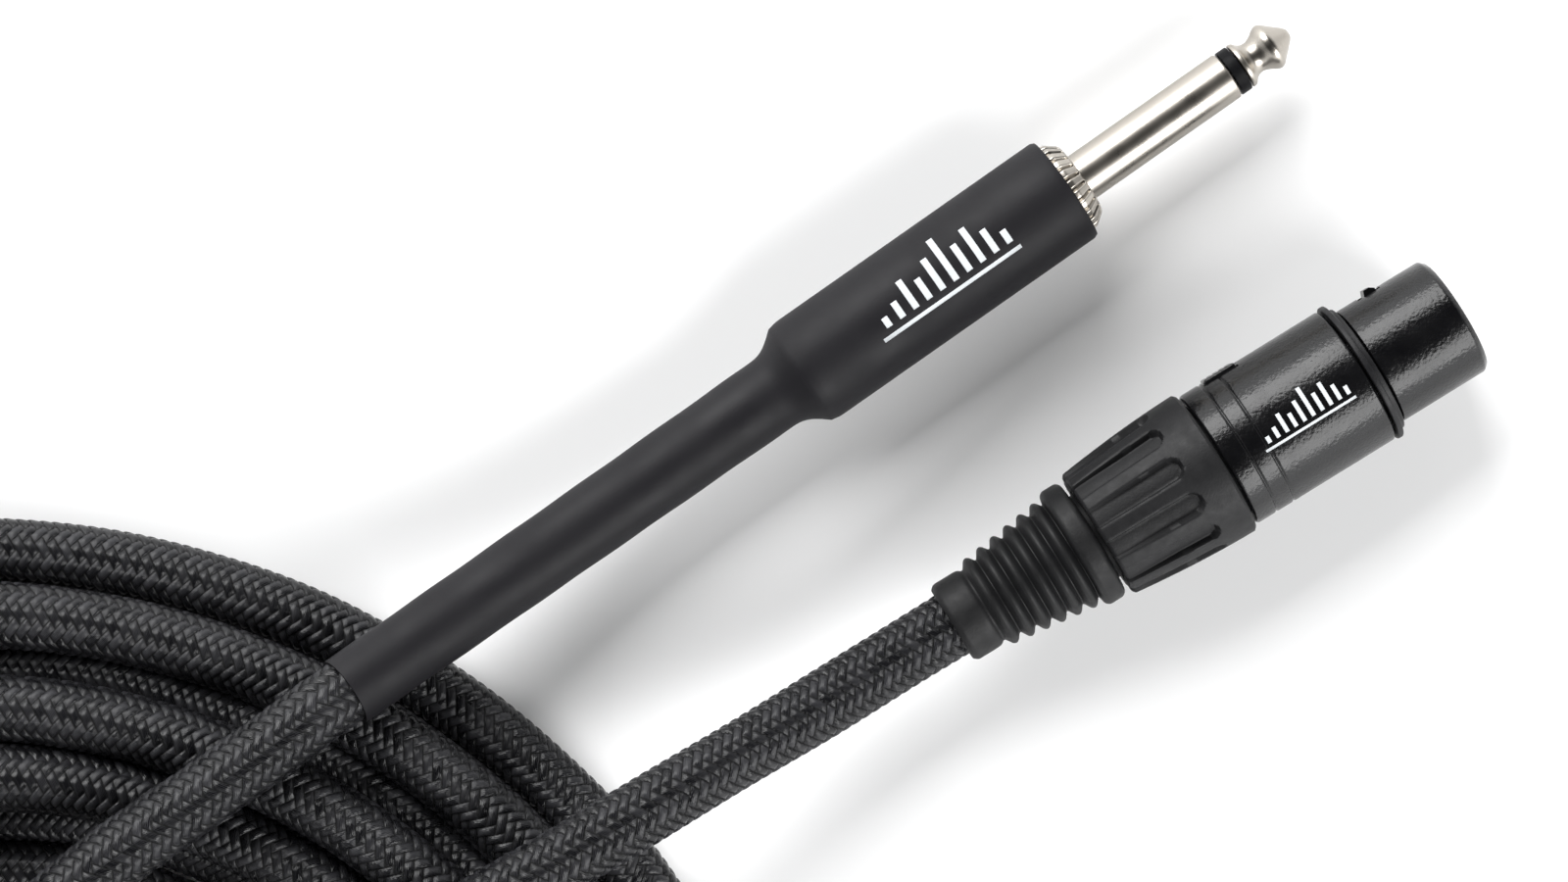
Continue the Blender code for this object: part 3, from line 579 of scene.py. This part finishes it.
class Axis:
    """A connector's axis: places on it are given by distance back from its front, angle and radius."""

    def __init__(self, front, forward):
        self.front = np.array(front)
        self.forward = np.array(forward)
        self.left = np.array([-forward[1], forward[0], 0.0])
        self.up = np.array([0.0, 0.0, 1.0])

    def point(self, back, angle, radius):
        """angle is measured from up towards the connector's left side."""
        back, angle, radius = np.broadcast_arrays(back, angle, radius)
        around = self.up * np.cos(angle)[..., None] + self.left * np.sin(angle)[..., None]
        return self.front - self.forward * back[..., None] + around * radius[..., None]

    def matrix(self):
        """Local +Z forward, +Y to the left."""
        down = np.cross(self.left, self.forward)
        turn = Matrix([[down[k], self.left[k], self.forward[k]] for k in range(3)]).to_4x4()
        return Matrix.Translation(Vector(self.front)) @ turn


xlr = Axis(XLR_NOSE, XLR_FORWARD)
jack = Axis(JACK_TIP, JACK_FORWARD)


def rounded(points, radius, steps=4):
    """A profile of (radius, back) points in mm with its inner corners rounded."""
    p = [np.array(q, float) for q in points]
    out = [p[0]]
    for before, here, after in zip(p, p[1:], p[2:]):
        a, b = before - here, after - here
        la, lb = np.linalg.norm(a), np.linalg.norm(b)
        cut = min(radius, la * 0.45, lb * 0.45)
        start, finish = here + a / la * cut, here + b / lb * cut
        for i in range(steps + 1):
            t = i / steps
            out.append((1 - t) ** 2 * start + 2 * t * (1 - t) * here + t * t * finish)
    out.append(p[-1])
    return np.array(out)


def lathe(name, axis, profile, sides, material, relief=None, closed=True):
    """A turned piece from a closed profile, in mm, that runs back down the outside and forward up the inside.
    relief(back_mm, angle) is taken off the radius where it's given."""
    profile = np.asarray(profile, float)
    angle = np.arange(sides) * 2 * math.pi / sides
    radius = np.repeat(profile[:, :1], sides, 1)
    back = np.repeat(profile[:, 1:], sides, 1)
    if relief:
        radius = radius - relief(back, angle[None, :], radius)
    rows = axis.point(back * MM, np.broadcast_to(angle, radius.shape), radius * MM)
    thing = grid_mesh(name, rows, material, ring=closed)
    mesh = thing.data
    shape = bmesh.new()
    shape.from_mesh(mesh)
    bmesh.ops.remove_doubles(shape, verts=shape.verts, dist=1e-7)
    bmesh.ops.recalc_face_normals(shape, faces=shape.faces)
    shape.to_mesh(mesh)
    shape.free()
    mesh.set_sharp_from_angle(angle=math.radians(40))
    return thing


def subdivided(points, longest):
    """The profile with extra points so that no step is longer than this, in mm."""
    out = [np.asarray(points[0], float)]
    for a, b in zip(points, points[1:]):
        a, b = np.asarray(a, float), np.asarray(b, float)
        n = max(1, int(math.ceil(np.linalg.norm(b - a) / longest)))
        out += [a + (b - a) * (i + 1) / n for i in range(n)]
    return np.array(out)


def cut_with(thing, cutter):
    """Takes the cutter out of the piece for good, and removes the cutter."""
    modifier = thing.modifiers.new("cut", "BOOLEAN")
    modifier.operation = "DIFFERENCE"
    modifier.solver = "EXACT"
    modifier.object = cutter
    bpy.context.view_layer.update()
    seen = thing.evaluated_get(bpy.context.evaluated_depsgraph_get())
    mesh = bpy.data.meshes.new_from_object(seen)
    thing.modifiers.clear()
    thing.data = mesh
    bpy.data.objects.remove(cutter, do_unlink=True)
    mesh.set_sharp_from_angle(angle=math.radians(40))


def block(name, axis, low, high, bevel, material=None, segments=3):
    """A bevelled box in an axis's own frame, in mm: across, left, and back from the front."""
    shape = bmesh.new()
    bmesh.ops.create_cube(shape, size=1)
    low, high = Vector(low), Vector(high)
    size = high - low
    shape.transform(Matrix.Translation((low + high) / 2) @ Matrix.Diagonal((*size, 1)))
    if bevel:
        bmesh.ops.bevel(shape, geom=shape.edges[:], offset=bevel, segments=segments, affect="EDGES", profile=0.5)
    shape.transform(axis.matrix() @ Matrix.Diagonal((MM, MM, -MM, 1)))
    bmesh.ops.recalc_face_normals(shape, faces=shape.faces)
    mesh = bpy.data.meshes.new(name)
    shape.to_mesh(mesh)
    shape.free()
    mesh.shade_smooth()
    mesh.set_sharp_from_angle(angle=math.radians(40))
    thing = bpy.data.objects.new(name, mesh)
    bpy.context.scene.collection.objects.link(thing)
    if material:
        mesh.materials.append(material)
    return thing


def place(thing, body, slot, *nodes):
    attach(thing, body)
    if nodes:
        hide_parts(*nodes)
    return thing


# ---- XLR connector -----------------------------------------------------------------------------------------


def xlr_shell(material):
    """Nose and main shell in one, with two fine grooves, and the windows of the latch cut in its side."""
    outer = [(6.6, 0.25), (6.85, 0), (7.35, 0), (7.95, 0.7), (7.95, 12.5), (7.3, 12.5), (7.3, 14.5), (9.05, 14.5),
             (9.25, 14.75)]
    for station in (29.3, 31.8):
        outer += [(9.25, station - 0.22), (9.02, station), (9.25, station + 0.22)]
    outer += [(9.25, 34.4), (8.95, 34.7), (7.9, 34.7), (7.9, 15.5), (6.6, 15.5), (6.6, 0.25)]
    profile = rounded(outer, 0.22, 3)[:-1]
    shell = lathe("xlr_shell_detail", xlr, profile, 160, material)
    cut_with(shell, block("cut_button", xlr, (-2.9, 5, 26.5), (2.9, 12, 31.5), 0))
    cut_with(shell, block("cut_hook", xlr, (-1.7, 5, 6.4), (1.7, 12, 9.6), 0))
    return place(shell, ROOT, "black_metal", "xlr_shell")


def xlr_ring(material):
    profile = rounded([(7.6, 12.8), (8.5, 12.8), (8.6, 12.9), (8.6, 13.45), (9.35, 13.45), (9.5, 13.6), (9.5, 14.1),
                       (9.4, 14.2), (7.6, 14.2), (7.6, 12.8)], 0.08, 2)[:-1]
    ring = lathe("xlr_ring_detail", xlr, profile, 128, material)
    return place(ring, ROOT, "rubber", "xlr_nose_ring")


def flute_relief(back, angle, radius):
    """Twelve round-ended flutes: full width just behind the front rim, shallower towards the rear."""
    count, start, end = 12, 39.4, 52.6
    local = (angle * count / (2 * math.pi)) % 1 - 0.5
    across = np.abs(local) * 2 * math.pi / count * 9.3
    half = 1.45
    nose = np.clip(start + half - back, 0, None)
    distance = np.sqrt(across**2 + nose**2)
    inside = 1 - eased((distance - half * 0.8) / (half * 0.24))
    depth = 0.95 * (1 - 0.5 * eased((back - 44) / (end - 44)))
    outside = radius > 7.8
    return np.where(outside, depth * inside * (back < end + 1), 0)


def xlr_nut(material):
    front, end = 35.0, 52.3
    side = [(9.85 + (8.6 - 9.85) * ((b - 34.7) / (end - 34.7)) ** 1.8, b) for b in np.linspace(front + 0.4, end - 0.5, 76)]
    head = rounded([(7.0, 32.2), (7.6, 32.2), (7.6, front), (9.5, front), (9.85, front + 0.4)], 0.15, 2)
    tail = rounded([side[-1], (8.62, end - 0.35), (8.2, end), (6.2, end), (6.2, 48.6), (7.0, 44.3), (7.0, 32.2)], 0.2, 3)
    profile = np.concatenate([head[:-1], np.array(side), tail[1:-1]])
    nut = lathe("xlr_nut_detail", xlr, profile, 288, material, flute_relief)
    return place(nut, "gland_nut", "grey_plastic", "xlr_gland_nut")


def xlr_boot(material):
    outer = [(4.5, 48.4), (5.9, 48.4), (5.9, 52.95), (7.7, 52.95), (8.2, 53.5), (8.2, 55.4), (7.8, 55.9)]
    for rib in range(6):
        crest = 7.6 - 0.28 * rib
        station = 57.2 + 2.12 * rib
        outer += [(crest - 1.05, station - 1.04), (crest - 0.2, station - 0.4), (crest, station),
                  (crest - 0.2, station + 0.4)]
    outer += [(4.95, 68.9), (5.4, 69.5), (5.45, 70.2), (5.45, 72.9), (4.95, 73.5), (4.5, 73.5), (4.5, 48.4)]
    profile = rounded(outer, 0.3, 3)[:-1]
    boot = lathe("xlr_boot_detail", xlr, profile, 128, material)
    return place(boot, "boot", "rubber", "xlr_boot")


def contact_places():
    circle = 4.1
    for number, degrees in ((1, 30), (2, 150), (3, 270)):
        angle = math.radians(degrees)
        yield number, circle * math.cos(angle), circle * math.sin(angle)


def shifted_axis(across, left):
    """An axis beside the XLR's own, in mm: across is down, left is left."""
    down = np.cross(xlr.left, xlr.forward)
    return Axis(xlr.front + down * across * MM + xlr.left * left * MM, xlr.forward)


def xlr_insert(material):
    profile = rounded([(0.0, 0.8), (3.0, 0.8), (6.0, 0.8), (6.3, 1.1), (6.3, 16.0), (7.5, 16.0), (7.5, 18.0),
                       (0.0, 18.0)], 0.15, 2)
    insert = lathe("xlr_insert_detail", xlr, profile, 96, material, closed=False)
    for number, across, left in contact_places():
        cutter = lathe(f"cut_socket_{number}", shifted_axis(across, left),
                       [(0, -1), (2.3, -1), (2.3, 0.75), (1.9, 1.15), (1.9, 20), (0, 20)], 40, None, closed=False)
        cut_with(insert, cutter)
    cut_with(insert, block("cut_slot", xlr, (-1.7, 3.1, -1), (1.7, 9, 20), 0))
    return place(insert, ROOT, "black_plastic", "xlr_insert")


def xlr_contacts(material):
    outline = [(0, 13), (1.2, 12.6), (1.2, 1.6), (1.35, 1.4), (1.6, 1.7), (1.6, 18.5), (1.1, 18.8), (1.1, 20),
               (1.6, 20.3), (1.6, 25), (1.2, 25), (1.2, 21.5), (0, 21.5)]
    for number, across, left in contact_places():
        contact = lathe(f"xlr_contact_detail_{number}", shifted_axis(across, left), outline, 40, material, closed=False)
        place(contact, ROOT, "gold_contact", f"xlr_contact_{number}")


def xlr_latch(material):
    """The push button, with its finger lines, and the tongue that ends in the hook."""
    button = block("xlr_button_detail", xlr, (-2.5, 6.2, 26.8), (2.5, 9.45, 31.2), 0.25, material)
    for line in range(4):
        station = 27.7 + 0.85 * line
        cut_with(button, block(f"cut_grip_{line}", xlr, (-3, 9.25, station), (3, 10.5, station + 0.3), 0))
    place(button, "latch", "black_metal", "xlr_latch_button")
    bpy.data.objects["xlr_latch_tongue"].data.materials.clear()
    bpy.data.objects["xlr_latch_tongue"].data.materials.append(material)


# ---- jack plug ---------------------------------------------------------------------------------------------


def jack_contacts(metal, dark):
    tip = rounded([(0, 0.0), (0.55, 0.0), (1.0, 0.35), (2.55, 2.05), (3.05, 2.6), (3.175, 3.05), (3.0, 3.6),
                   (2.45, 4.35), (2.12, 5.2), (2.2, 5.9), (2.6, 6.45), (3.0, 6.75), (3.1, 7.05), (3.08, 7.4), (0.9, 7.4),
                   (0.9, 44), (0, 44)], 0.35, 4)
    place(lathe("jack_tip_detail", jack, tip, 96, metal, closed=False), ROOT, "nickel", "jack_tip")
    ring = rounded([(1.2, 7.62), (3.1, 7.62), (3.1, 9.05), (1.2, 9.05), (1.2, 7.62)], 0.08, 2)[:-1]
    place(lathe("jack_ring_detail", jack, ring, 96, dark), ROOT, "black_plastic", "jack_insulator_ring")
    sleeve = rounded([(2.0, 9.3), (3.05, 9.3), (3.175, 9.45), (3.175, 39), (2.0, 39), (2.0, 9.3)], 0.12, 3)[:-1]
    place(lathe("jack_sleeve_detail", jack, subdivided(sleeve, 4), 96, metal), ROOT, "nickel", "jack_sleeve")


def knurl_relief(back, angle, radius):
    """Straight teeth cut into the cone of the collar."""
    teeth = 24
    wave = (angle * teeth / (2 * math.pi)) % 1
    groove = 1 - eased(np.abs(wave - 0.5) / 0.24)
    return np.where(radius > 4.9, 0.6 * groove * eased((radius - 4.9) / 0.35), 0)


def jack_collar(metal):
    profile = rounded([(3.475, 31.75), (4.75, 31.75), (5.05, 31.95), (6.0, 33.2), (6.1, 33.5), (6.1, 34.0),
                       (3.475, 34.0), (3.475, 31.75)], 0.12, 3)[:-1]
    collar = lathe("jack_collar_detail", jack, subdivided(profile, 0.3), 384, metal, knurl_relief)
    return place(collar, ROOT, "nickel", "jack_collar")


SHRINK_R = 7.15
SHRINK_STEP = 74.8


def shrink_radius(along):
    """Outer radius in mm at a distance behind the tip: barrel, soft shoulder, and the cable's own size."""
    edge = 0.22
    nose = np.clip((COLLAR_END / MM + 0.2 + edge - along) / edge, 0, 1)
    t = np.clip((along - SHRINK_STEP) / 4.2, 0, 1)
    ease = 1 - (1 - t) ** 2.4
    narrow = 4.85 - 0.35 * np.clip((along - SHRINK_STEP) / (SHRINK_END / MM - SHRINK_STEP), 0, 1)
    corner = 0.25 * np.exp(-((along - SHRINK_STEP) / 0.9) ** 2)
    return SHRINK_R + (narrow - SHRINK_R) * ease - corner - edge * (1 - np.sqrt(1 - nose**2))


def heat_shrink(material):
    """One skin over barrel and cable. Its mouths show the wall's thickness."""
    line = smooth_line(shrink_line(), 0.5 * MM)
    along = np.concatenate([[0], np.cumsum(np.linalg.norm(np.diff(line, axis=0), axis=1))]) / MM + COLLAR_END / MM + 0.2
    radii = shrink_radius(along)
    ripple = 0.03 * np.sin(along * 0.55) * (along > SHRINK_STEP + 6)
    outer = sweep_rows(line, (radii + ripple) * MM, 96)
    wall = 0.38
    inner_r = np.where(along < SHRINK_STEP, SHRINK_R - 0.5, radii - wall)
    inner_r = np.minimum(inner_r, radii - wall)
    inner = sweep_rows(line, inner_r * MM, 96)
    rows = np.concatenate([outer, inner[::-1]])
    cover = grid_mesh("heat_shrink_detail", rows, material, ring=True)
    shape = bmesh.new()
    shape.from_mesh(cover.data)
    bmesh.ops.recalc_face_normals(shape, faces=shape.faces)
    shape.to_mesh(cover.data)
    shape.free()
    cover.data.shade_smooth()
    cover.data.set_sharp_from_angle(angle=math.radians(40))
    return place(cover, ROOT, "heat_shrink", "jack_heat_shrink")


# ---- plain mark --------------------------------------------------------------------------------------------


def patch(axis, radius, back, across, lift):
    """A thin raised pad bent round the axis: its places along and across the top side, in mm."""
    rows = 2 + int(abs(across[1] - across[0]) / 0.25)
    columns = 6
    backs = np.linspace(back[0], back[1], columns)
    angles = np.linspace(across[0], across[1], rows) / radius
    grid_b, grid_a = np.meshgrid(backs, angles, indexing="ij")
    top = axis.point(grid_b * MM, grid_a, np.full(grid_a.shape, (radius + lift) * MM))
    return top.reshape(-1, 3), rows, columns


def printed_mark(name, axis, radius, start, scale, body, material):
    """A plain level-meter mark: a row of bars of different heights, with a thin line under them."""
    heights = (1.6, 2.9, 4.4, 3.4, 5.6, 4.0, 2.6, 3.6, 2.0, 1.2)
    pads = []
    for number, height in enumerate(heights):
        back = start + number * 1.75 * scale
        pads.append(((back, back + 0.75 * scale), (-1.4 * scale, (-1.4 + height) * scale)))
    end = start + len(heights) * 1.75 * scale
    pads.append(((start - 0.4 * scale, end), (-2.6 * scale, -2.15 * scale)))
    points, faces = [], []
    for back, across in pads:
        top, rows, columns = patch(axis, radius, back, across, 0.035)
        base = len(points)
        points += list(top)
        for c in range(columns - 1):
            for r in range(rows - 1):
                a = base + c * rows + r
                faces.append((a, a + 1, a + rows + 1, a + rows))
    mark = mesh_object(name, points, faces, material)
    shape = bmesh.new()
    shape.from_mesh(mark.data)
    for face in shape.faces:
        if face.normal.z < 0:
            face.normal_flip()
    shape.to_mesh(mark.data)
    shape.free()
    solid = mark.modifiers.new("thickness", "SOLIDIFY")
    solid.thickness = 0.00003
    solid.offset = -1
    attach(mark, body)


# ---- stage -------------------------------------------------------------------------------------------------


def area_light(name, place_at, aim, size, power, colour=(1, 1, 1)):
    data = bpy.data.lights.new(name, "AREA")
    data.shape = "RECTANGLE"
    data.size, data.size_y = size
    data.energy = power
    data.color = colour
    lamp = bpy.data.objects.new(name, data)
    bpy.context.scene.collection.objects.link(lamp)
    lamp.location = place_at
    lamp.rotation_euler = (Vector(aim) - Vector(place_at)).to_track_quat("-Z", "Y").to_euler()


def dim_overhead():
    """Soft light from all round, dim straight above, so that rounded tops have a dark middle."""
    world = bpy.data.worlds.new("world")
    world.use_nodes = True
    tree = world.node_tree
    where = tree.nodes.new("ShaderNodeTexCoord").outputs["Generated"]
    parts = tree.nodes.new("ShaderNodeSeparateXYZ")
    level = tree.nodes.new("ShaderNodeMapRange")
    level.interpolation_type = "SMOOTHSTEP"
    for socket, value in zip(list(level.inputs)[1:5], (0.22, 0.7, 2.0, 0.03)):
        socket.default_value = value
    tree.links.new(where, parts.inputs[0])
    tree.links.new(parts.outputs[2], level.inputs[0])
    # Brightest to both sides of the plugs, dimmer ahead of them and behind.
    side = tree.nodes.new("ShaderNodeVectorMath")
    side.operation = "DOT_PRODUCT"
    side.inputs[1].default_value = (-0.57, 0.82, 0)
    tree.links.new(where, side.inputs[0])
    shares = []
    for operation, value in (("ABSOLUTE", 0), ("MULTIPLY_ADD", 0.8), ("MULTIPLY", 0)):
        step = tree.nodes.new("ShaderNodeMath")
        step.operation = operation
        step.inputs[1].default_value = value
        shares.append(step)
    shares[1].inputs[2].default_value = 0.25
    tree.links.new(side.outputs["Value"], shares[0].inputs[0])
    tree.links.new(shares[0].outputs[0], shares[1].inputs[0])
    tree.links.new(shares[1].outputs[0], shares[2].inputs[0])
    tree.links.new(level.outputs[0], shares[2].inputs[1])
    tree.links.new(shares[2].outputs[0], tree.nodes["Background"].inputs[1])
    tree.nodes["Background"].inputs[0].default_value = (0.98, 0.99, 1, 1)
    return world


def add_stage():
    reach = 3.0
    corners = [(-reach, -reach, 0), (reach, -reach, 0), (reach, reach, 0), (-reach, reach, 0)]
    s = Shader("floor", (0.9, 0.9, 0.9), 0.8)
    floor = mesh_object("floor", corners, [(0, 1, 2, 3)], s.material, smooth=False)
    floor.location.z = -0.0002
    bpy.context.scene.world = dim_overhead()
    aim = (0, 0.02, 0)
    area_light("upper_left_softbox", (-0.75, 1.05, 1.0), aim, (1.7, 0.9), 38)
    area_light("lower_right_softbox", (0.95, -0.8, 0.95), aim, (1.5, 0.8), 26)
    bpy.context.scene.view_settings.view_transform = "Standard"
    bpy.context.scene.view_settings.exposure = 0.0


# ---- everything --------------------------------------------------------------------------------------------


def finish_inner_nodes(nickel, steel, plastic):
    """The pieces that the CAD already has right, inside the connectors, get finished materials."""
    wire_white = moulded_material("wire_white", (0.7, 0.7, 0.68), (0.82, 0.82, 0.8), 0.3, 0.45)
    wire_red = moulded_material("wire_red", (0.4, 0.02, 0.015), (0.55, 0.04, 0.03), 0.3, 0.45)
    copper = metal_material("copper", (0.72, 0.38, 0.22), (0.8, 0.46, 0.3), 0.3)
    jacket = moulded_material("inner_jacket", (0.02, 0.02, 0.02), (0.035, 0.035, 0.035), 0.4, 0.55)
    liner = moulded_material("clear_liner", (0.6, 0.6, 0.56), (0.72, 0.72, 0.68), 0.25, 0.4)
    finishes = {
        "xlr_wire_hot": wire_white, "jack_signal_wire": wire_white, "xlr_wire_jumper": wire_red,
        "xlr_wire_shield": copper, "jack_shield_wire": copper, "xlr_cable_jacket": jacket,
        "jack_cable_jacket": jacket, "jack_barrel_liner": liner, "jack_barrel": nickel,
        "jack_ground_clamp": steel, "jack_tip_terminal": steel, "xlr_latch_spring": steel,
        "xlr_chuck": plastic, "jack_inner_insulator": plastic,
    }
    for name, material in finishes.items():
        mesh = bpy.data.objects[name].data
        mesh.materials.clear()
        mesh.materials.append(material)


def main():
    add_camera()
    cord, line = braided_cord(braid_material())
    lacquer = lacquer_material()
    nickel = nickel_material()
    steel = metal_material("spring_steel", (0.5, 0.51, 0.53), (0.6, 0.61, 0.63), 0.28)
    gold = metal_material("gold_contact", (0.83, 0.6, 0.26), (0.9, 0.68, 0.34), 0.22)
    dark = moulded_material("black_plastic", (0.003, 0.003, 0.0035), (0.006, 0.006, 0.007), 0.35, 0.5, shine=0.08)
    grey = moulded_material("grey_plastic", (0.007, 0.007, 0.0075), (0.011, 0.011, 0.012), 0.45, 0.6)
    rubber = moulded_material("rubber", (0.005, 0.005, 0.0055), (0.009, 0.009, 0.0095), 0.45, 0.6)
    ring_rubber = moulded_material("ring_rubber", (0.006, 0.006, 0.007), (0.012, 0.012, 0.013), 0.4, 0.55)
    white = print_material()

    xlr_shell(lacquer)
    xlr_ring(ring_rubber)
    xlr_nut(grey)
    xlr_boot(rubber)
    xlr_insert(dark)
    xlr_contacts(gold)
    xlr_latch(lacquer)
    printed_mark("xlr_mark", xlr, 9.25, 17.2, 0.72, ROOT, white)

    jack_contacts(nickel, dark)
    jack_collar(nickel)
    heat_shrink(shrink_material())
    printed_mark("jack_mark", jack, SHRINK_R, 43.5, 1.15, ROOT, white)
    finish_inner_nodes(nickel, steel, grey)

    add_stage()


main()
